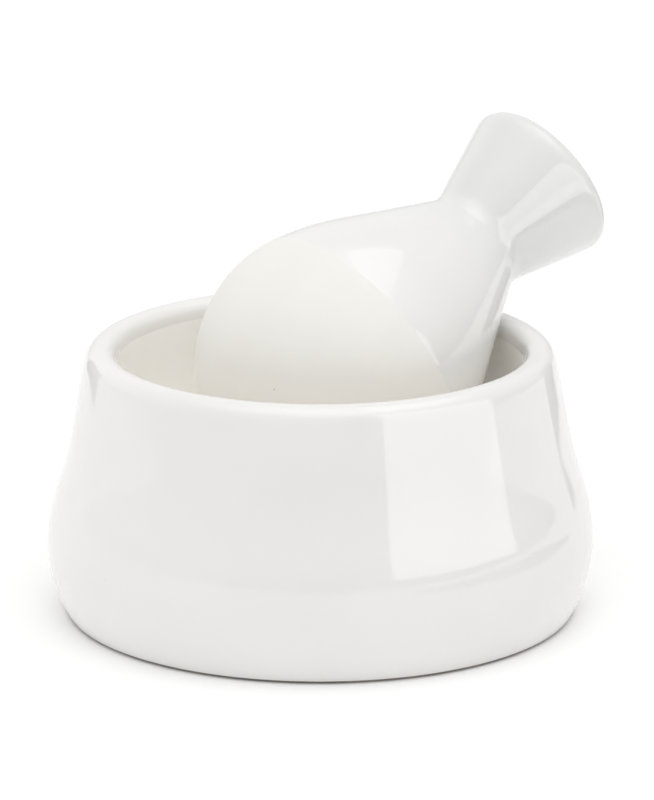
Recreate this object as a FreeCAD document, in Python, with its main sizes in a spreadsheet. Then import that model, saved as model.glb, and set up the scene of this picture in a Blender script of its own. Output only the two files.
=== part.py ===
"""Mortar and pestle: a heavy round bowl, and a loose ball-headed pestle that leans in it.

Frame: millimetres, +Z up. The origin is the centre of the ring that the mortar stands on,
and the pestle leans towards +X, so the XZ plane is the plane of symmetry.
"""
import FreeCAD
import Part
import Sketcher
from math import acos, cos, degrees, hypot, radians, sin
import os

Vector = FreeCAD.Vector

DIMENSIONS = {
    # mortar, outside
    "mortar_height": 71.5,       # standing surface to the top of the rim
    "belly_radius": 72.5,        # widest part
    "belly_height": 18.5,        # height of the widest part
    "foot_radius": 66.8,         # outer edge of the standing ring, before it is rounded
    "foot_inner_radius": 55.0,   # inner edge of the standing ring, before it is rounded
    "foot_round": 1.2,
    "recess_height": 13.0,       # crown of the hollow under the base
    "belly_curve": 48.5,         # radius of the belly above its widest part
    "waist_curve": 95.0,         # radius of the hollow between the belly and the wall
    "wall_taper": 11.2,          # degrees that the wall leans in from upright
    "rim_radius": 61.5,          # where the wall's line meets the rim's plane
    "rim_outer_round": 4.2,
    # mortar, inside
    "bowl_radius": 54.0,         # where the inner wall's line meets the rim's plane
    "bowl_taper": 3.0,           # degrees that the inner wall closes in towards the floor
    "bowl_corner": 28.0,         # radius between the inner wall and the dished floor
    "floor_height": 26.4,        # lowest point of the dished floor
    "floor_curve": 80.0,         # radius of the dish
    "rim_inner_round": 3.4,
    # pestle, measured along its own axis from the centre of the ball
    "ball_radius": 37.6,
    "shoulder_curve": 78.0,      # radius of the shoulder between the ball and the cone
    "cone_angle": 28.8,          # degrees that the cone closes in towards the neck
    "neck_distance": 53.8,       # corner between the cone and the handle
    "neck_radius": 14.4,         # radius at that corner, before it is rounded
    "neck_round": 8.0,
    "handle_distance": 82.3,     # end edge of the flared handle
    "handle_radius": 23.8,       # radius at that edge, before it is rounded
    "handle_round": 4.0,
    "handle_crown": 3.0,         # how far the end face bulges
    # pestle at rest: its ball on the floor and its shoulder over the rim
    "lean_angle": 29.6,          # degrees between its axis and the ground
    "ball_offset": 5.5,          # ball centre ahead of the bowl's axis
    "ball_centre_height": 64.7,
}
D = DIMENSIONS

START, END, CENTRE = 1, 2, 3     # the points of a line or an arc
X_AXIS, Y_AXIS = -1, -2          # the sketch's own axes
ORIGIN = (X_AXIS, START)
DOWN, RIGHT, UP = -90, 0, 90     # directions in a sketch, in degrees


def make_sheet(doc):
    """Spreadsheet of the driving dimensions, one alias to a row."""
    sheet = doc.addObject("Spreadsheet::Sheet", "Dimensions")
    for row, (name, value) in enumerate(DIMENSIONS.items(), start=1):
        sheet.set(f"A{row}", name)
        sheet.set(f"B{row}", str(value))
        sheet.setAlias(f"B{row}", name)
    doc.recompute()


def make_body(doc, label):
    body = doc.addObject("PartDesign::Body", label)
    body.Label = label
    return body


class HalfSection:
    """Half of a turned section: x is the radius, and y runs along the axis of revolution."""

    def __init__(self, body, name):
        self.sketch = body.newObject("Sketcher::SketchObject", name)
        plane = next(f for f in body.Origin.OriginFeatures if f.Role == "XZ_Plane")
        self.sketch.AttachmentSupport = [(plane, "")]
        self.sketch.MapMode = "FlatFace"

    def line(self, start, end):
        segment = Part.LineSegment(Vector(*start, 0), Vector(*end, 0))
        return self.sketch.addGeometry(segment, False)

    def arc(self, centre, radius, from_angle, to_angle):
        """Arc that runs counter-clockwise from its START to its END; angles in degrees."""
        circle = Part.Circle(Vector(*centre, 0), Vector(0, 0, 1), radius)
        arc = Part.ArcOfCircle(circle, radians(from_angle), radians(to_angle))
        return self.sketch.addGeometry(arc, False)

    def add(self, kind, *values):
        return self.sketch.addConstraint(Sketcher.Constraint(kind, *values))

    def bind(self, constraint, name, unit=""):
        """Tie a dimension to its cell of the sheet."""
        self.sketch.setExpression(f"Constraints[{constraint}]", f"Dimensions.{name}{unit}")

    def radius(self, arc, name):
        self.bind(self.add("Radius", arc, D[name]), name)

    def out(self, geometry, point, name):
        """Distance of a point from the axis of revolution."""
        self.bind(self.add("DistanceX", *ORIGIN, geometry, point, D[name]), name)

    def up(self, geometry, point, name):
        """Distance of a point along the axis of revolution."""
        self.bind(self.add("DistanceY", *ORIGIN, geometry, point, D[name]), name)

    def leans_in(self, line, name):
        """Angle of a line that comes nearer the axis from its START to its END."""
        angle = self.add("Angle", Y_AXIS, START, line, START, radians(D[name]))
        self.bind(angle, name, " * 1 deg")

    def leans_out(self, line, name):
        """Angle of a line that is drawn downwards and comes nearer the axis on the way."""
        angle = self.add("Angle", line, END, Y_AXIS, START, radians(D[name]))
        self.bind(angle, name, " * 1 deg")


def direction(angle):
    """Unit vector in the sketch, as (x, y)."""
    return cos(radians(angle)), sin(radians(angle))


def shifted(point, distance, angle):
    x, y = direction(angle)
    return point[0] + distance * x, point[1] + distance * y


def reach(point, angle):
    """How far a point lies in a direction."""
    x, y = direction(angle)
    return point[0] * x + point[1] * y


def mortar_section(body):
    """Foot ring, belly, waist, wall and rim outside; wall, corner and dished floor inside."""
    section = HalfSection(body, "MortarSection")
    recess_top = (0, D["recess_height"])
    foot_inner = (D["foot_inner_radius"], 0)
    foot_outer = (D["foot_radius"], 0)
    rim_outer = (D["rim_radius"], D["mortar_height"])
    rim_inner = (D["bowl_radius"], D["mortar_height"])
    floor = (0, D["floor_height"])

    # the dome under the base is an arc whose centre is on the axis, far below
    recess_curve = (D["foot_inner_radius"] ** 2 + D["recess_height"] ** 2) / (2 * D["recess_height"])
    recess_centre = (0, D["recess_height"] - recess_curve)
    recess_edge = degrees(acos(D["foot_inner_radius"] / recess_curve))

    # the lower belly runs from the foot to the widest part, where it is upright
    bulge = D["belly_radius"] - D["foot_radius"]
    lower_curve = hypot(bulge, D["belly_height"]) ** 2 / (2 * bulge)
    lower_centre = (D["belly_radius"] - lower_curve, D["belly_height"])
    lower_edge = -degrees(acos((D["foot_radius"] - lower_centre[0]) / lower_curve))

    # the waist touches the belly's arc on one side and the wall's line on the other
    upper_centre = (D["belly_radius"] - D["belly_curve"], D["belly_height"])
    wall = D["wall_taper"]
    to_wall = reach(rim_outer, wall) - reach(upper_centre, wall)
    turn = degrees(acos((D["waist_curve"] + to_wall) / (D["belly_curve"] + D["waist_curve"])))
    waist_centre = shifted(upper_centre, D["belly_curve"] + D["waist_curve"], wall + turn)
    belly_end = shifted(upper_centre, D["belly_curve"], wall + turn)
    wall_start = shifted(waist_centre, -D["waist_curve"], wall)

    # the inner corner touches the inner wall's line and the dish of the floor
    floor_centre = (0, D["floor_height"] + D["floor_curve"])
    inner = -D["bowl_taper"]
    to_inner = reach(rim_inner, inner) - reach(floor_centre, inner)
    dish_less = D["floor_curve"] - D["bowl_corner"]
    swing = degrees(acos((to_inner - D["bowl_corner"]) / dish_less))
    corner_centre = shifted(floor_centre, dish_less, inner - swing)
    inner_end = shifted(corner_centre, D["bowl_corner"], inner)

    recess = section.arc(recess_centre, recess_curve, recess_edge, UP)
    foot = section.line(foot_inner, foot_outer)
    lower = section.arc(lower_centre, lower_curve, lower_edge, RIGHT)
    upper = section.arc(upper_centre, D["belly_curve"], RIGHT, wall + turn)
    waist = section.arc(waist_centre, D["waist_curve"], 180 + wall, 180 + wall + turn)
    outside = section.line(wall_start, rim_outer)
    rim = section.line(rim_outer, rim_inner)
    inside = section.line(rim_inner, inner_end)
    corner = section.arc(corner_centre, D["bowl_corner"], inner - swing, inner)
    dish = section.arc(floor_centre, D["floor_curve"], DOWN, inner - swing)
    axis = section.line(floor, recess_top)

    section.add("Coincident", recess, START, foot, START)
    section.add("Coincident", foot, END, lower, START)
    section.add("Coincident", lower, END, upper, START)
    section.add("Tangent", upper, END, waist, END)
    section.add("Tangent", waist, START, outside, START)
    section.add("Coincident", outside, END, rim, START)
    section.add("Coincident", rim, END, inside, START)
    section.add("Tangent", inside, END, corner, END)
    section.add("Tangent", corner, START, dish, END)
    section.add("Coincident", dish, START, axis, START)
    section.add("Coincident", axis, END, recess, END)
    section.add("Vertical", axis)
    section.add("PointOnObject", recess, CENTRE, Y_AXIS)
    section.add("PointOnObject", recess, END, Y_AXIS)
    section.add("PointOnObject", dish, CENTRE, Y_AXIS)
    section.add("PointOnObject", foot, START, X_AXIS)
    section.add("PointOnObject", foot, END, X_AXIS)
    section.add("Horizontal", rim)
    section.add("Horizontal", upper, CENTRE, upper, START)
    section.add("Horizontal", lower, CENTRE, lower, END)

    section.up(recess, END, "recess_height")
    section.out(foot, START, "foot_inner_radius")
    section.out(foot, END, "foot_radius")
    section.out(lower, END, "belly_radius")
    section.up(lower, END, "belly_height")
    section.radius(upper, "belly_curve")
    section.radius(waist, "waist_curve")
    section.leans_in(outside, "wall_taper")
    section.out(outside, END, "rim_radius")
    section.up(outside, END, "mortar_height")
    section.out(inside, START, "bowl_radius")
    section.leans_out(inside, "bowl_taper")
    section.radius(corner, "bowl_corner")
    section.radius(dish, "floor_curve")
    section.up(dish, START, "floor_height")
    return section.sketch


def pestle_section(body):
    """Ball, shoulder and cone up to the neck, then the flared handle and its crowned end."""
    section = HalfSection(body, "PestleSection")
    neck = (D["neck_radius"], D["neck_distance"])
    edge = (D["handle_radius"], D["handle_distance"])
    crown_top = (0, D["handle_distance"] + D["handle_crown"])

    # the shoulder touches the ball's arc on one side and the cone's line on the other
    cone = D["cone_angle"]
    beyond = D["shoulder_curve"] - D["ball_radius"]
    turn = degrees(acos((D["shoulder_curve"] - reach(neck, cone)) / beyond))
    shoulder_centre = shifted((0, 0), -beyond, cone - turn)
    cone_start = shifted(shoulder_centre, D["shoulder_curve"], cone)

    crown_curve = hypot(D["handle_radius"], D["handle_crown"]) ** 2 / (2 * D["handle_crown"])
    crown_centre = (0, crown_top[1] - crown_curve)
    crown_edge = degrees(acos(D["handle_radius"] / crown_curve))

    ball = section.arc((0, 0), D["ball_radius"], DOWN, cone - turn)
    shoulder = section.arc(shoulder_centre, D["shoulder_curve"], cone - turn, cone)
    taper = section.line(cone_start, neck)
    flare = section.line(neck, edge)
    crown = section.arc(crown_centre, crown_curve, crown_edge, UP)
    axis = section.line(crown_top, (0, -D["ball_radius"]))

    section.add("Tangent", ball, END, shoulder, START)
    section.add("Tangent", shoulder, END, taper, START)
    section.add("Coincident", taper, END, flare, START)
    section.add("Coincident", flare, END, crown, START)
    section.add("Coincident", crown, END, axis, START)
    section.add("Coincident", axis, END, ball, START)
    section.add("Coincident", ball, CENTRE, *ORIGIN)
    section.add("Vertical", axis)
    section.add("PointOnObject", ball, START, Y_AXIS)
    section.add("PointOnObject", crown, CENTRE, Y_AXIS)

    section.radius(ball, "ball_radius")
    section.radius(shoulder, "shoulder_curve")
    section.leans_in(taper, "cone_angle")
    section.out(taper, END, "neck_radius")
    section.up(taper, END, "neck_distance")
    section.out(flare, END, "handle_radius")
    section.up(flare, END, "handle_distance")
    crown_length = section.add("DistanceY", flare, END, crown, END, D["handle_crown"])
    section.bind(crown_length, "handle_crown")
    return section.sketch


def turn_section(body, sketch, name):
    """Solid of revolution about the sketch's own upright axis."""
    turned = body.newObject("PartDesign::Revolution", name)
    turned.Profile = sketch
    turned.ReferenceAxis = (sketch, ["V_Axis"])
    turned.Angle = 360
    body.Document.recompute()
    return turned


def round_ring(body, base, rings, size):
    """Round the circular edges at these (radius, height) places by one driving dimension."""
    near = 0.01
    names = []
    for radius, height in rings:
        for number, edge in enumerate(base.Shape.Edges, start=1):
            if edge.Degenerated or not isinstance(edge.Curve, Part.Circle):
                continue
            ring = edge.Curve
            if abs(ring.Radius - radius) < near and abs(ring.Center.z - height) < near:
                names.append(f"Edge{number}")
    rounded = body.newObject("PartDesign::Fillet", f"Round_{size}")
    rounded.Base = (base, names)
    rounded.setExpression("Radius", f"Dimensions.{size}")
    body.Document.recompute()
    return rounded


def make_mortar(doc):
    body = make_body(doc, "mortar")
    turned = turn_section(body, mortar_section(body), "MortarTurned")
    feet = [(D["foot_radius"], 0), (D["foot_inner_radius"], 0)]
    turned = round_ring(body, turned, feet, "foot_round")
    turned = round_ring(body, turned, [(D["rim_radius"], D["mortar_height"])], "rim_outer_round")
    round_ring(body, turned, [(D["bowl_radius"], D["mortar_height"])], "rim_inner_round")
    return body


def make_pestle(doc):
    body = make_body(doc, "pestle")
    turned = turn_section(body, pestle_section(body), "PestleTurned")
    turned = round_ring(body, turned, [(D["neck_radius"], D["neck_distance"])], "neck_round")
    round_ring(body, turned, [(D["handle_radius"], D["handle_distance"])], "handle_round")
    # tip the upright pestle over towards +X, about the centre of its ball
    body.Placement = FreeCAD.Placement(Vector(0, 0, 0), FreeCAD.Rotation(Vector(0, 1, 0), 1))
    body.setExpression(".Placement.Rotation.Angle", "(90 - Dimensions.lean_angle) * 1 deg")
    body.setExpression(".Placement.Base.x", "Dimensions.ball_offset * 1 mm")
    body.setExpression(".Placement.Base.z", "Dimensions.ball_centre_height * 1 mm")
    return body


def check(doc, bodies):
    """Stop if any feature failed, or if a piece isn't one valid solid."""
    for feature in doc.Objects:
        if {"Invalid", "Error"} & set(feature.State):
            raise RuntimeError(f"{feature.Name} failed: {feature.State}")
        if feature.isDerivedFrom("Sketcher::SketchObject") and not feature.FullyConstrained:
            raise RuntimeError(f"{feature.Name} isn't fully constrained")
    for body in bodies:
        shape = body.Shape
        if shape.isNull() or not shape.isValid() or len(shape.Solids) != 1:
            raise RuntimeError(f"{body.Label} isn't one valid solid")


def main():
    doc = FreeCAD.newDocument("MortarAndPestle")
    make_sheet(doc)
    bodies = [make_mortar(doc), make_pestle(doc)]
    doc.recompute()
    check(doc, bodies)
    os.makedirs("parts", exist_ok=True)
    for body in bodies:
        body.Shape.exportStep(f"parts/{body.Label}.step")
        box = body.Shape.optimalBoundingBox()
        print(f"{body.Label}: {body.Shape.Volume / 1000:.1f} cm3, x {box.XMin:.1f} to {box.XMax:.1f},"
              f" y {box.YMin:.1f} to {box.YMax:.1f}, z {box.ZMin:.1f} to {box.ZMax:.1f}")


main()
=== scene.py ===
"""Looks of the mortar and pestle: glazed white porcelain, bare where it grinds.

Shapes are worked out in millimetres, as (radius, height) outlines that are turned round an axis,
and become metres when the mesh is made. Azimuths of lights are degrees round the object, from the
camera's side towards the right.
"""

from math import acos, atan2, cos, degrees, hypot, pi, radians, sin, sqrt, tan

import bpy
import numpy as np
from mathutils import Matrix, Vector


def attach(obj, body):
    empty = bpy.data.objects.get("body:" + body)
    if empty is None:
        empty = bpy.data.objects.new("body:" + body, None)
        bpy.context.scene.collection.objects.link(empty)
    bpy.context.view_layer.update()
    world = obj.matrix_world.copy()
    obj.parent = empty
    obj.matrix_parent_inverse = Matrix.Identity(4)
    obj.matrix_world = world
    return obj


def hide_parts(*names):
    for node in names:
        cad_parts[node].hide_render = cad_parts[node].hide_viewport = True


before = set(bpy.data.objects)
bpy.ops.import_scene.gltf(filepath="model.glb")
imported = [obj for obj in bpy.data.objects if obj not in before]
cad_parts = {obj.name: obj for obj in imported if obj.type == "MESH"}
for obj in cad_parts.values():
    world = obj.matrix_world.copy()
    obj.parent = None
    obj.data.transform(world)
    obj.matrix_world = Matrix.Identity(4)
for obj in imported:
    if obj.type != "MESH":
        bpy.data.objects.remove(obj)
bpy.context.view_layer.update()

MM = 0.001

MORTAR = {
    "height": 71.5,
    "belly_radius": 72.5,
    "belly_height": 18.5,
    "foot_radius": 66.8,
    "foot_inner_radius": 55.0,
    "foot_round": 1.2,
    "recess_height": 13.0,
    "belly_curve": 48.5,
    "waist_curve": 95.0,
    "wall_taper": 11.2,
    "rim_radius": 61.5,
    "rim_outer_round": 4.2,
    "bowl_radius": 54.0,
    "bowl_taper": 3.0,
    "bowl_corner": 28.0,
    "floor_height": 26.4,
    "floor_curve": 80.0,
    "rim_inner_round": 3.4,
}
PESTLE = {
    "ball_radius": 37.6,
    "shoulder_curve": 78.0,
    "cone_angle": 28.8,
    "neck_distance": 53.8,
    "neck_radius": 14.4,
    "neck_round": 8.0,
    "handle_distance": 82.3,
    "handle_radius": 23.8,
    "handle_round": 4.0,
    "handle_crown": 3.0,
}
LEAN = 29.6                     # degrees between the pestle's axis and the ground
BALL_PLACE = (5.5, 0.0, 64.7)   # centre of the ball at rest

# How glaze ends against bare porcelain: its thickness and the width of its slope.
RIM_GLAZE = (0.05, 1.0)
BALL_GLAZE = (0.06, 1.2)
RIM_GLAZE_DEPTH = 4.7           # the glaze comes this far down inside the rim
BALL_GLAZE_HEIGHT = 8.4         # and stops this far from the ball's centre, towards the handle
FOOT_SHADOW_REACH = 0.8                 # the foot's edge is painted dark as contact shadow this far past its two edges

# Uneven places left by the hand, each a list of waves: height, count round the piece, phase.
RIM_LINE_WAVES = ((0.22, 2, 0.6), (0.16, 5, 2.0), (0.08, 11, 0.0))
BALL_LINE_WAVES = ((0.5, 1, 0.4), (0.35, 2, 1.1), (0.15, 5, 0.3))
WAIST_DENT = {"depth": 0.55, "height": 41, "tall": 9, "degrees_wide": 28}

OUTLINE_STEP = 0.2
COARSE = 1.1                    # gaps between rings where a piece is plain
FINE = 0.3                      # and near its edges
FINEST = 0.12                   # and near a glaze line
SEGMENTS = 256                  # round each piece


# ---------------------------------------------------------------- outlines, in millimetres

def unit(angle):
    return np.array([cos(radians(angle)), sin(radians(angle))])


def reach(point, angle):
    """How far a point lies in a direction."""
    return float(np.dot(point, unit(angle)))


def point_count(length):
    """Points for a stretch of outline, about a quarter of a millimetre apart."""
    return max(3, int(length / 0.25))


def arc(centre, radius, start, end):
    """Points along an arc; angles in degrees."""
    count = point_count(abs(radians(end - start)) * radius)
    turns = np.radians(np.linspace(start, end, count))
    return np.array(centre) + radius * np.stack([np.cos(turns), np.sin(turns)], axis=1)


def line(start, end):
    start, end = np.array(start, float), np.array(end, float)
    count = point_count(np.linalg.norm(end - start))
    return start + np.linspace(0, 1, count)[:, None] * (end - start)


def length_along(path):
    steps = np.linalg.norm(np.diff(path, axis=0), axis=1)
    return np.concatenate([[0], np.cumsum(steps)])


def rounded(before, after, radius):
    """Joins two paths that meet at a corner, with the corner rounded."""
    corner = before[-1]
    back = before[-2] - corner
    ahead = after[1] - corner
    back /= np.linalg.norm(back)
    ahead /= np.linalg.norm(ahead)
    half = acos(float(np.clip(np.dot(back, ahead), -1, 1))) / 2
    trim = radius / tan(half)
    before_kept = before[length_along(before) < length_along(before)[-1] - trim]
    after_kept = after[length_along(after) > trim]
    middle = back + ahead
    centre = corner + middle / np.linalg.norm(middle) * radius / sin(half)
    start = corner + back * trim - centre
    end = corner + ahead * trim - centre
    from_angle = atan2(start[1], start[0])
    turn = (atan2(end[1], end[0]) - from_angle + pi) % (2 * pi) - pi
    bend = arc(centre, radius, degrees(from_angle), degrees(from_angle + turn))
    return np.concatenate([before_kept, bend, after_kept])


def curve_through(reach_out, rise):
    """Radius of the circle that rises this much over this reach from its crown."""
    return hypot(reach_out, rise) ** 2 / (2 * rise)


def joined(*paths):
    whole = [paths[0]]
    for path in paths[1:]:
        whole.append(path[1:])
    return np.concatenate(whole)


def mortar_outline():
    """From the middle of the hollow underneath, round the outside, to the middle of the floor."""
    m = MORTAR
    foot_inner = (m["foot_inner_radius"], 0)
    foot_outer = (m["foot_radius"], 0)
    rim_outer = (m["rim_radius"], m["height"])
    rim_inner = (m["bowl_radius"], m["height"])

    recess_curve = curve_through(m["foot_inner_radius"], m["recess_height"])
    recess_centre = (0, m["recess_height"] - recess_curve)
    recess_edge = degrees(acos(m["foot_inner_radius"] / recess_curve))
    recess = arc(recess_centre, recess_curve, 90, recess_edge)

    lower_curve = curve_through(m["belly_height"], m["belly_radius"] - m["foot_radius"])
    lower_centre = (m["belly_radius"] - lower_curve, m["belly_height"])
    lower_edge = -degrees(acos((m["foot_radius"] - lower_centre[0]) / lower_curve))

    wall = m["wall_taper"]
    upper_centre = np.array([m["belly_radius"] - m["belly_curve"], m["belly_height"]])
    to_wall = reach(rim_outer, wall) - reach(upper_centre, wall)
    turn = degrees(acos((m["waist_curve"] + to_wall) / (m["belly_curve"] + m["waist_curve"])))
    waist_centre = upper_centre + (m["belly_curve"] + m["waist_curve"]) * unit(wall + turn)
    belly = joined(
        arc(lower_centre, lower_curve, lower_edge, 0),
        arc(upper_centre, m["belly_curve"], 0, wall + turn),
        arc(waist_centre, m["waist_curve"], 180 + wall + turn, 180 + wall),
        line(waist_centre - m["waist_curve"] * unit(wall), rim_outer),
    )

    inner = -m["bowl_taper"]
    floor_centre = np.array([0, m["floor_height"] + m["floor_curve"]])
    dish_less = m["floor_curve"] - m["bowl_corner"]
    to_inner = reach(rim_inner, inner) - reach(floor_centre, inner)
    swing = degrees(acos((to_inner - m["bowl_corner"]) / dish_less))
    corner_centre = floor_centre + dish_less * unit(inner - swing)
    bowl = joined(
        line(rim_inner, corner_centre + m["bowl_corner"] * unit(inner)),
        arc(corner_centre, m["bowl_corner"], inner, inner - swing),
        arc(floor_centre, m["floor_curve"], inner - swing, -90),
    )

    path = rounded(recess, line(foot_inner, foot_outer), m["foot_round"])
    path = rounded(path, belly, m["foot_round"])
    path = rounded(path, line(rim_outer, rim_inner), m["rim_outer_round"])
    return rounded(path, bowl, m["rim_inner_round"])


def pestle_outline():
    """From the bottom of the ball to the middle of the handle's end, round the pestle's own axis."""
    p = PESTLE
    neck = (p["neck_radius"], p["neck_distance"])
    edge = (p["handle_radius"], p["handle_distance"])
    cone = p["cone_angle"]
    beyond = p["shoulder_curve"] - p["ball_radius"]
    turn = degrees(acos((p["shoulder_curve"] - reach(neck, cone)) / beyond))
    shoulder_centre = -beyond * unit(cone - turn)
    crown_curve = curve_through(p["handle_radius"], p["handle_crown"])
    crown_centre = (0, p["handle_distance"] + p["handle_crown"] - crown_curve)
    body = joined(
        arc((0, 0), p["ball_radius"], -90, cone - turn),
        arc(shoulder_centre, p["shoulder_curve"], cone - turn, cone),
        line(shoulder_centre + p["shoulder_curve"] * unit(cone), neck),
    )
    crown_edge = degrees(acos(p["handle_radius"] / crown_curve))
    crown = arc(crown_centre, crown_curve, crown_edge, 90)
    path = rounded(body, line(neck, edge), p["neck_round"])
    return rounded(path, crown, p["handle_round"])


def even(path, step):
    along = length_along(path)
    places = np.linspace(0, along[-1], int(along[-1] / step) + 1)
    return np.stack([np.interp(places, along, path[:, k]) for k in (0, 1)], axis=1)


def softened(path, sharp_places, least, most):
    """Evens out the bending of a path, as slip and glaze do, but keeps it near the sharp places."""
    along = length_along(path)
    distance = np.min([np.abs(along - place) for place in [0, along[-1], *sharp_places]], axis=0)
    spread = np.clip(distance * 0.3, least, most)
    soft = np.empty_like(path)
    for k, (here, sigma) in enumerate(zip(along, spread)):
        weight = np.exp(-0.5 * ((along - here) / sigma) ** 2)
        soft[k] = weight @ path / weight.sum()
    soft[0] = path[0]
    soft[-1] = path[-1]
    return soft


def nearest_place(path, point):
    """Distance along a path of its nearest point to this one."""
    away = np.linalg.norm(path - np.array(point), axis=1)
    return float(length_along(path)[np.argmin(away)])


# ---------------------------------------------------------------- turned meshes

def new_object(name, data):
    made = bpy.data.objects.new(name, data)
    bpy.context.scene.collection.objects.link(made)
    return made


def smooth_step(low, high, value):
    t = np.clip((value - low) / (high - low), 0, 1)
    return t * t * (3 - 2 * t)


def hump(value, centre, spread):
    return np.exp(-0.5 * ((value - centre) / spread) ** 2)


def waves(turns, terms):
    return sum(height * np.sin(count * turns + phase) for height, count, phase in terms)


def angle_from(turns, degrees_at):
    """Signed angle in degrees from a direction, between -180 and 180."""
    return (np.degrees(turns) - degrees_at + 180) % 360 - 180


def places_between(start, end, fine_places, fine):
    """Places along a path: this close together near some places, and coarse elsewhere."""
    probe = np.linspace(start, end, 4000)
    near = np.min([np.abs(probe - place) for place in fine_places], axis=0)
    gap = np.clip(fine + 0.12 * near, fine, COARSE)
    count = np.concatenate([[0], np.cumsum(np.diff(probe) / gap[:-1])])
    return np.interp(np.linspace(0, count[-1], int(count[-1]) + 2), count, probe)


def turned_mesh(name, path, places, shift, offset, bands, materials):
    """A closed mesh of rings round the Z axis, one for each place along the path.

    shift and offset are functions of (places, turns): how far a ring point slides along the path,
    and how far it stands off it. bands has the number of a material for each band between rings.
    """
    turns = np.linspace(0, 2 * pi, SEGMENTS, endpoint=False)
    at, turn = np.meshgrid(places, turns, indexing="ij")
    slid = at + shift(at, turn)
    along = length_along(path)
    radius, height = (np.interp(slid, along, path[:, k]) for k in (0, 1))
    slope = np.gradient(path, along, axis=0)
    slope /= np.linalg.norm(slope, axis=1)[:, None]
    out_r = np.interp(slid, along, slope[:, 1])
    out_z = np.interp(slid, along, -slope[:, 0])
    off = offset(at, turn)
    radius = radius + off * out_r
    height = height + off * out_z
    points = np.stack([radius * np.cos(turn), radius * np.sin(turn), height], axis=2)

    inner = points[1:-1].reshape(-1, 3)
    first = np.array([[0, 0, points[0, :, 2].mean()]])
    last = np.array([[0, 0, points[-1, :, 2].mean()]])
    vertices = np.concatenate([first, inner, last]) * MM
    rings = len(places) - 2
    tip = len(vertices) - 1
    faces = []
    kinds = []
    for k in range(SEGMENTS):
        after = (k + 1) % SEGMENTS
        faces.append((0, 1 + k, 1 + after))
        kinds.append(bands[0])
    for ring in range(rings - 1):
        low, high = 1 + ring * SEGMENTS, 1 + (ring + 1) * SEGMENTS
        for k in range(SEGMENTS):
            after = (k + 1) % SEGMENTS
            faces.append((low + k, high + k, high + after, low + after))
            kinds.append(bands[ring + 1])
    top = 1 + (rings - 1) * SEGMENTS
    for k in range(SEGMENTS):
        after = (k + 1) % SEGMENTS
        faces.append((top + k, tip, top + after))
        kinds.append(bands[-1])
    mesh = bpy.data.meshes.new(name)
    mesh.from_pydata(vertices.tolist(), [], faces)
    for material in materials:
        mesh.materials.append(material)
    mesh.polygons.foreach_set("material_index", np.array(kinds, dtype=np.int32))
    mesh.polygons.foreach_set("use_smooth", np.ones(len(faces), dtype=bool))
    mesh.update()
    mesh.validate()
    return new_object(name, mesh)


def glaze_relief(into_glaze, glaze):
    """Height of the surface by how far a point lies into the glaze: bare, sloping up, glazed."""
    thickness, slope = glaze
    return (smooth_step(0, slope, into_glaze) - 1) * thickness


def make_mortar(glaze, bare, grain_and_shade):
    m = MORTAR
    path = even(mortar_outline(), OUTLINE_STEP)
    corners = [
        (m["foot_inner_radius"], 0),
        (m["foot_radius"], 0),
        (m["rim_radius"], m["height"]),
        (m["bowl_radius"], m["height"]),
    ]
    sharp = [nearest_place(path, corner) for corner in corners]
    path = softened(path, sharp, 0.35, 3.0)
    foot_in, foot_out, rim_out, rim_in = (nearest_place(path, corner) for corner in corners)
    glaze_line = nearest_place(path, (m["bowl_radius"], m["height"] - RIM_GLAZE_DEPTH))
    end = length_along(path)[-1]
    edges = [foot_in, foot_out, rim_out, rim_in]
    shadow_start, shadow_end = foot_in - FOOT_SHADOW_REACH, foot_out + FOOT_SHADOW_REACH
    stretches = [
        # start, end, number of the material, gap at the finest
        (0, shadow_start, 0, FINE),
        # Material 2, along the foot's edge, is painted contact shadow.
        (shadow_start, shadow_end, 2, FINE),
        (shadow_end, glaze_line, 0, FINEST),
        (glaze_line, end, 1, FINEST),
    ]
    parts = []
    bands = []
    for start, stop, number, gap in stretches:
        fine_places = [*edges, glaze_line] if gap == FINEST else edges
        part = places_between(start, stop, fine_places, gap)
        parts.append(part[:-1])
        bands += [number] * (len(part) - 1)
    places = np.concatenate([*parts, [end]])

    def shift(at, turn):
        return waves(turn, RIM_LINE_WAVES) * hump(at, glaze_line, 3.0)

    def offset(at, turn):
        height = np.interp(at, length_along(path), path[:, 1])
        above_foot = smooth_step(foot_out, foot_out + 12, at)
        below_rim = 1 - smooth_step(rim_out - 4, rim_in, at)
        dent_wide = hump(angle_from(turn, WAIST_DENT_TURN), 0, WAIST_DENT["degrees_wide"])
        dent_tall = hump(height, WAIST_DENT["height"], WAIST_DENT["tall"])
        dent = -WAIST_DENT["depth"] * dent_wide * dent_tall
        uneven = waves(turn, ((0.12, 2, 0.8), (0.07, 3, 2.1 + height / 30)))
        relief = glaze_relief(glaze_line - at, RIM_GLAZE) * (at > rim_in - 6)
        return relief + above_foot * below_rim * (dent + uneven)

    # The third material is the foot's painted contact shadow.
    materials = [glaze, bare, grain_and_shade]
    return turned_mesh("mortar_porcelain", path, places, shift, offset, bands, materials)


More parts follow.
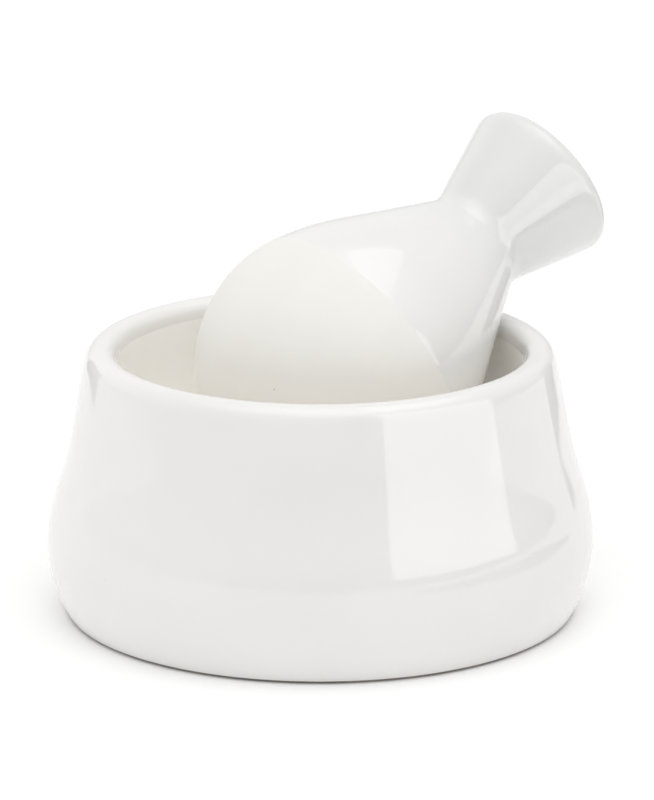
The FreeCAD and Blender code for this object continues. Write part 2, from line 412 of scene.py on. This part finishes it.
def make_pestle(glaze, bare):
    p = PESTLE
    path = even(pestle_outline(), OUTLINE_STEP)
    corners = [(p["neck_radius"], p["neck_distance"]), (p["handle_radius"], p["handle_distance"])]
    sharp = [nearest_place(path, corner) for corner in corners]
    path = softened(path, sharp, 0.5, 2.5)
    neck, edge = (nearest_place(path, corner) for corner in corners)
    line_radius = sqrt(p["ball_radius"] ** 2 - BALL_GLAZE_HEIGHT ** 2)
    glaze_line = nearest_place(path, (line_radius, BALL_GLAZE_HEIGHT))
    end = length_along(path)[-1]
    lower = places_between(0, glaze_line, [glaze_line], FINEST)
    upper = places_between(glaze_line, end, [glaze_line, neck, edge], FINEST)
    places = np.concatenate([lower[:-1], upper])
    bands = [1] * (len(lower) - 1) + [0] * (len(upper) - 1)

    def shift(at, turn):
        return waves(turn, BALL_LINE_WAVES) * hump(at, glaze_line, 6.0)

    def offset(at, turn):
        uneven = waves(turn, ((0.08, 2, 1.0), (0.05, 3, at / 25)))
        middle = smooth_step(0, 15, at) * (1 - smooth_step(end - 15, end, at))
        return glaze_relief(at - glaze_line, BALL_GLAZE) + uneven * middle

    piece = turned_mesh("pestle_porcelain", path, places, shift, offset, bands, [glaze, bare])
    tip_over = Matrix.Rotation(radians(90 - LEAN), 4, "Y")
    piece.data.transform(Matrix.Translation(Vector(BALL_PLACE) * MM) @ tip_over)
    return piece


# ---------------------------------------------------------------- materials

GLAZE_COLOUR = (0.868, 0.860, 0.844)
GLAZE_COLOUR_CLOUDY = (0.854, 0.845, 0.827)
# The pestle's glaze is painted darker towards the handle's end, as painted shade.
GLAZE_COLOUR_PAINTED_SHADE = (0.795, 0.800, 0.785)
PAINTED_SHADE_FROM_TO = (0.065, 0.100)     # metres along the pestle, over which its glaze is painted darker towards the handle's end, as painted shade
SPECK_COLOUR = (0.55, 0.48, 0.40)
GLAZE_IOR = 1.6
BARE_IOR = 1.5
# Bare porcelain has three colours: clean, cloudy and worn grain.
# The bowl's three are painted lighter than the ball's, as painted light inside the bowl.
BOWL_COLOURS_PAINTED_LIGHTER = ((0.945, 0.934, 0.908), (0.935, 0.920, 0.888), (0.87, 0.84, 0.79))
BALL_COLOURS = ((0.882, 0.865, 0.824), (0.872, 0.852, 0.806), (0.80, 0.77, 0.71))
# The foot's three colours are painted contact shadow along the foot's edge.
FOOT_SHADOW_COLOURS = ((0.26, 0.235, 0.205), (0.18, 0.165, 0.145), (0.12, 0.11, 0.10))


class Nodes:
    """A material's node tree, with short calls for the nodes used here."""

    def __init__(self, name):
        self.material = bpy.data.materials.new(name)
        self.material.use_nodes = True
        self.tree = self.material.node_tree
        self.shader = self.tree.nodes["Principled BSDF"]
        self.place = self.tree.nodes.new("ShaderNodeTexCoord").outputs["Object"]

    def link(self, output, socket):
        self.tree.links.new(output, socket)

    def set(self, **values):
        """Sets sockets of the shader; an underscore stands for a space in their names."""
        for name, value in values.items():
            self.shader.inputs[name.replace("_", " ")].default_value = value

    def noise(self, size, detail=3.0, rough=0.5):
        """Cloudy noise whose lumps are about this many millimetres across."""
        node = self.tree.nodes.new("ShaderNodeTexNoise")
        node.inputs["Scale"].default_value = 1 / (size * MM)
        node.inputs["Detail"].default_value = detail
        node.inputs["Roughness"].default_value = rough
        self.link(self.place, node.inputs["Vector"])
        return node.outputs["Fac"]

    def along(self, axis):
        """How far a point lies along this direction."""
        node = self.tree.nodes.new("ShaderNodeVectorMath")
        node.operation = "DOT_PRODUCT"
        node.inputs[1].default_value = axis
        self.link(self.place, node.inputs[0])
        return node.outputs["Value"]

    def spread(self, value, low, high, to_low=0.0, to_high=1.0):
        """Takes a value from one range to another, smoothly and without going past its ends."""
        node = self.tree.nodes.new("ShaderNodeMapRange")
        node.interpolation_type = "SMOOTHSTEP"
        node.inputs["From Min"].default_value = low
        node.inputs["From Max"].default_value = high
        node.inputs["To Min"].default_value = to_low
        node.inputs["To Max"].default_value = to_high
        self.link(value, node.inputs["Value"])
        return node.outputs["Result"]

    def product(self, first, second):
        node = self.tree.nodes.new("ShaderNodeMath")
        node.operation = "MULTIPLY"
        self.link(first, node.inputs[0])
        self.link(second, node.inputs[1])
        return node.outputs[0]

    def mix(self, amount, first, second):
        """A colour between two, each an output or three numbers."""
        node = self.tree.nodes.new("ShaderNodeMix")
        node.data_type = "RGBA"
        self.link(amount, node.inputs[0])
        for socket, value in ((node.inputs[6], first), (node.inputs[7], second)):
            if isinstance(value, tuple):
                socket.default_value = (*value, 1)
            else:
                self.link(value, socket)
        return node.outputs[2]

    def specks(self, spacing, size, share):
        """Dots of about this size, one to a cell, in this share of the cells."""
        cells = self.tree.nodes.new("ShaderNodeTexVoronoi")
        cells.inputs["Scale"].default_value = 1 / (spacing * MM)
        self.link(self.place, cells.inputs["Vector"])
        apart = self.tree.nodes.new("ShaderNodeSeparateColor")
        self.link(cells.outputs["Color"], apart.inputs[0])
        edge = size / spacing
        dot = self.spread(cells.outputs["Distance"], 0.3 * edge, 0.6 * edge, 1, 0)
        chosen = self.spread(apart.outputs[0], 1 - share, 1 - share * 0.9)
        return self.product(dot, chosen)

    def bump(self, height, depth, before=None):
        """Bump from a height between 0 and 1 that stands for this many millimetres."""
        node = self.tree.nodes.new("ShaderNodeBump")
        node.inputs["Strength"].default_value = 1
        node.inputs["Distance"].default_value = depth * MM
        self.link(height, node.inputs["Height"])
        if before:
            self.link(before, node.inputs["Normal"])
        return node.outputs["Normal"]


def glazed_porcelain(name, painted_shade_axis=None):
    """Clear glaze on white porcelain: cloudy by a hair, faintly rippled, with a few tiny specks."""
    n = Nodes(name)
    cloud = n.spread(n.noise(34, 2), 0.35, 0.65)
    colour = n.mix(cloud, GLAZE_COLOUR, GLAZE_COLOUR_CLOUDY)
    # Painted shade: the glaze turns darker towards the handle's end.
    if painted_shade_axis:
        painted_shade = n.spread(n.along(painted_shade_axis), *PAINTED_SHADE_FROM_TO)
        colour = n.mix(painted_shade, colour, GLAZE_COLOUR_PAINTED_SHADE)
    colour = n.mix(n.specks(9, 0.45, 0.05), colour, SPECK_COLOUR)
    n.link(colour, n.shader.inputs["Base Color"])
    n.link(n.spread(n.noise(14, 3), 0.3, 0.7, 0.045, 0.085), n.shader.inputs["Roughness"])
    ripple = n.bump(n.noise(17, 1), 0.055)
    n.link(n.bump(n.noise(1.6, 2), 0.0012, ripple), n.shader.inputs["Normal"])
    n.set(IOR=GLAZE_IOR)
    return n.material


def bare_porcelain(name, clean, cloudy, grain_and_shade):
    """Unglazed porcelain: matt, a little warmer, fine-grained, and rubbed in patches by use."""
    n = Nodes(name)
    grain = n.noise(0.45, 3, 0.6)
    cloud = n.spread(n.noise(16, 4), 0.35, 0.7)
    colour = n.mix(cloud, clean, cloudy)
    # The third colour is worn grain on bowl and ball, and painted shadow on the foot.
    colour = n.mix(n.spread(grain, 0.62, 0.85, 0, 0.25), colour, grain_and_shade)
    colour = n.mix(n.specks(7, 0.5, 0.07), colour, SPECK_COLOUR)
    n.link(colour, n.shader.inputs["Base Color"])
    rubbed = n.noise(9, 4)
    n.link(n.spread(rubbed, 0.3, 0.7, 0.5, 0.68), n.shader.inputs["Roughness"])
    n.link(n.bump(grain, 0.014), n.shader.inputs["Normal"])
    n.set(IOR=BARE_IOR)
    return n.material


# ---------------------------------------------------------------- camera, floor and light

# The camera's place and lens were fitted to the outline of the set.
CAMERA_TURN = 38.3              # degrees from the lean's direction to the picture's right
CAMERA_ELEVATION = 16.6
CAMERA_DISTANCE = 1.604
CAMERA_LENS = 333.7
AIM_HEIGHT = 0.0564
AIM_RIGHT = 0.0018

LOOK = Vector((sin(radians(CAMERA_TURN)), cos(radians(CAMERA_TURN)), 0))
RIGHT = Vector((cos(radians(CAMERA_TURN)), -sin(radians(CAMERA_TURN)), 0))
UP = Vector((0, 0, 1))
BELLY_MIDDLE = 0.036
WAIST_DENT_TURN = degrees(atan2(-RIGHT.y, -RIGHT.x))


def toward(azimuth, elevation):
    """Direction from the object: azimuth from the camera's side towards the right, in degrees."""
    level = -cos(radians(azimuth)) * LOOK + sin(radians(azimuth)) * RIGHT
    return cos(radians(elevation)) * level + sin(radians(elevation)) * UP


def add_camera():
    data = bpy.data.cameras.new("camera")
    data.sensor_fit = "HORIZONTAL"
    data.sensor_width = 36
    data.lens = CAMERA_LENS
    data.clip_start = 0.05
    data.clip_end = 50
    camera = new_object("camera", data)
    camera.location = BELLY_MIDDLE * UP + CAMERA_DISTANCE * toward(0, CAMERA_ELEVATION)
    aim = AIM_HEIGHT * UP + AIM_RIGHT * RIGHT - camera.location
    camera.rotation_mode = "QUATERNION"
    camera.rotation_quaternion = aim.to_track_quat("-Z", "Y")
    bpy.context.scene.camera = camera


FLOOR_REACH = 30
FLOOR_COLOUR = (0.93, 0.93, 0.93)
FLOOR_COLOUR_CLOUDY = (0.95, 0.95, 0.95)
FLOOR_GLOW = 0.06               # keeps the floor white close to the foot
MATT = 0.9


def flat_sheet(name, corners, material):
    """A flat object with one face between four corners."""
    mesh = bpy.data.meshes.new(name)
    mesh.from_pydata(corners, [], [(0, 1, 2, 3)])
    mesh.materials.append(material)
    sheet = new_object(name, mesh)
    return sheet


def add_floor():
    far = FLOOR_REACH
    corners = [(-far, -far, 0), (far, -far, 0), (far, far, 0), (-far, far, 0)]
    n = Nodes("pale_floor")
    colour = n.mix(n.noise(900, 2), FLOOR_COLOUR, FLOOR_COLOUR_CLOUDY)
    n.link(colour, n.shader.inputs["Base Color"])
    n.set(Roughness=MATT, Emission_Color=(1, 1, 1, 1), Emission_Strength=FLOOR_GLOW)
    flat_sheet("floor", corners, n.material)


def add_light(name, place, across, facing, width, height, radiance):
    """A soft box that shows only as its reflection in the glaze."""
    data = bpy.data.lights.new(name, "AREA")
    data.shape = "RECTANGLE"
    data.size = width
    data.size_y = height
    data.energy = radiance * pi * width * height
    light = new_object(name, data)
    axes = Matrix((across, (-facing).cross(across), -facing)).transposed()
    light.matrix_world = Matrix.Translation(place) @ axes.to_4x4()
    light.visible_camera = False
    light.visible_diffuse = False


# Even light from all round the studio, as glows on a sphere far away. The radiances weren't chosen
# by hand: a separate least-squares program worked them out from measured tones. Only the glow at
# elevation 85 and the one at azimuth 180 were changed after it.
GLOWS = [
    # azimuth, elevation, spread in degrees, radiance
    (0, 85, 24, 1.70),
    (0, 42, 27, 0.45),
    (60, 42, 27, 0.50),
    (120, 42, 27, 0.20),
    (-60, 42, 27, 0.12),
    (0, 12, 21, 0.13),
    (45, 12, 21, 0.14),
    (90, 12, 21, 0.24),
    (135, 12, 21, 0.29),
    (180, 20, 27, 0.65),
    (-135, 12, 21, 0.76),
    (-90, 12, 21, 0.73),
    (-45, 12, 21, 0.33),
]

# The soft box on the right stands close to the mortar, between these two places on the floor,
# each in metres to the right of the mortar's middle and behind it.
PANEL_START = (0.098, -0.2005)
PANEL_END = (0.444, -0.045)
PANEL_BOTTOM = 0.042
PANEL_TOP = 0.22
PANEL_RADIANCE = 1.5
# The other hangs level overhead.
OVERHEAD_PLACE = (0.48, 0.22, 1.19)     # metres to the right, behind and above
OVERHEAD_SIZE = (0.56, 1.0)
OVERHEAD_TURN = 15
OVERHEAD_RADIANCE = 0.7
# Two upright grey cards behind the mortar draw its edges in the glaze. Each has two places on the
# floor, to the right and behind, and its bottom and top.
UPRIGHT_CARDS = {
    "card_left": ((-0.278, 0.190), (-0.186, 0.257), 0.018, 0.15),
    "card_right": ((0.210, 0.257), (0.268, 0.198), 0.002, 0.15),
}
# A third lies under the handle: its left, right, back and front edges, and its height.
LYING_CARD = (0.22, 0.65, 0.10, -0.40, 0.001)
CARD_COLOUR = (0.35, 0.35, 0.35, 1)


def spot(right, back, up):
    """A place by how far it lies to the camera's right, behind the mortar's middle and up."""
    return right * RIGHT + back * LOOK + up * UP


def add_lights():
    start, end = spot(*PANEL_START, 0), spot(*PANEL_END, 0)
    across = (end - start).normalized()
    middle = (start + end) / 2 + (PANEL_BOTTOM + PANEL_TOP) / 2 * UP
    size = ((end - start).length, PANEL_TOP - PANEL_BOTTOM)
    add_light("panel_right", middle, across, UP.cross(across), *size, PANEL_RADIANCE)
    turn = radians(OVERHEAD_TURN)
    across = cos(turn) * RIGHT + sin(turn) * LOOK
    add_light("overhead", spot(*OVERHEAD_PLACE), across, -UP, *OVERHEAD_SIZE, OVERHEAD_RADIANCE)


def add_card(name, corners, material):
    """A card that shows only as its reflection in the glaze."""
    card = flat_sheet(name, [spot(*corner) for corner in corners], material)
    card.visible_camera = False
    card.visible_diffuse = False
    card.visible_shadow = False


def add_cards():
    n = Nodes("grey_card")
    n.set(Base_Color=CARD_COLOUR, Roughness=MATT)
    for name, (start, end, bottom, top) in UPRIGHT_CARDS.items():
        corners = [(*start, bottom), (*end, bottom), (*end, top), (*start, top)]
        add_card(name, corners, n.material)
    left, right, back, front, height = LYING_CARD
    around = [(left, back), (left, front), (right, front), (right, back)]
    add_card("card_under_handle", [(*place, height) for place in around], n.material)


def add_world():
    world = bpy.data.worlds.new("studio")
    world.use_nodes = True
    tree = world.node_tree

    def node(kind, operation, constants, source):
        made = tree.nodes.new(kind)
        made.operation = operation
        for number, value in enumerate(constants, 1):
            made.inputs[number].default_value = value
        tree.links.new(source, made.inputs[0])
        return made

    direction = tree.nodes.new("ShaderNodeTexCoord").outputs["Generated"]
    total = None
    for azimuth, elevation, spread, radiance in GLOWS:
        middle = toward(azimuth, elevation)
        sharpness = 1 / radians(spread) ** 2
        towards = node("ShaderNodeVectorMath", "DOT_PRODUCT", [middle], direction)
        constants = (sharpness, -sharpness)
        fall = node("ShaderNodeMath", "MULTIPLY_ADD", constants, towards.outputs["Value"])
        glow = node("ShaderNodeMath", "EXPONENT", (), fall.outputs[0])
        added = node("ShaderNodeMath", "MULTIPLY_ADD", (radiance, 0), glow.outputs[0])
        if total is not None:
            tree.links.new(total, added.inputs[2])
        total = added.outputs[0]
    background = tree.nodes["Background"]
    background.inputs["Color"].default_value = (1, 1, 1, 1)
    tree.links.new(total, background.inputs["Strength"])
    bpy.context.scene.world = world


mortar = make_mortar(
    glazed_porcelain("mortar_glaze"),
    # The bowl's bare colours are painted lighter than the ball's, as painted light inside the bowl.
    bare_porcelain("bare_bowl", *BOWL_COLOURS_PAINTED_LIGHTER),
    # The foot's material is painted contact shadow.
    bare_porcelain("painted_foot_shadow", *FOOT_SHADOW_COLOURS),
)
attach(mortar, "mortar")
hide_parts("mortar")
pestle_axis = (cos(radians(LEAN)), 0, sin(radians(LEAN)))
pestle = make_pestle(
    # The pestle's glaze is painted darker towards the handle's end, as painted shade.
    glazed_porcelain("pestle_glaze", pestle_axis),
    bare_porcelain("bare_ball", *BALL_COLOURS),
)
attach(pestle, "pestle")
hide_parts("pestle")

add_floor()
add_camera()
add_world()
add_lights()
add_cards()
bpy.context.scene.view_settings.view_transform = "Standard"
bpy.context.scene.cycles.diffuse_bounces = 12
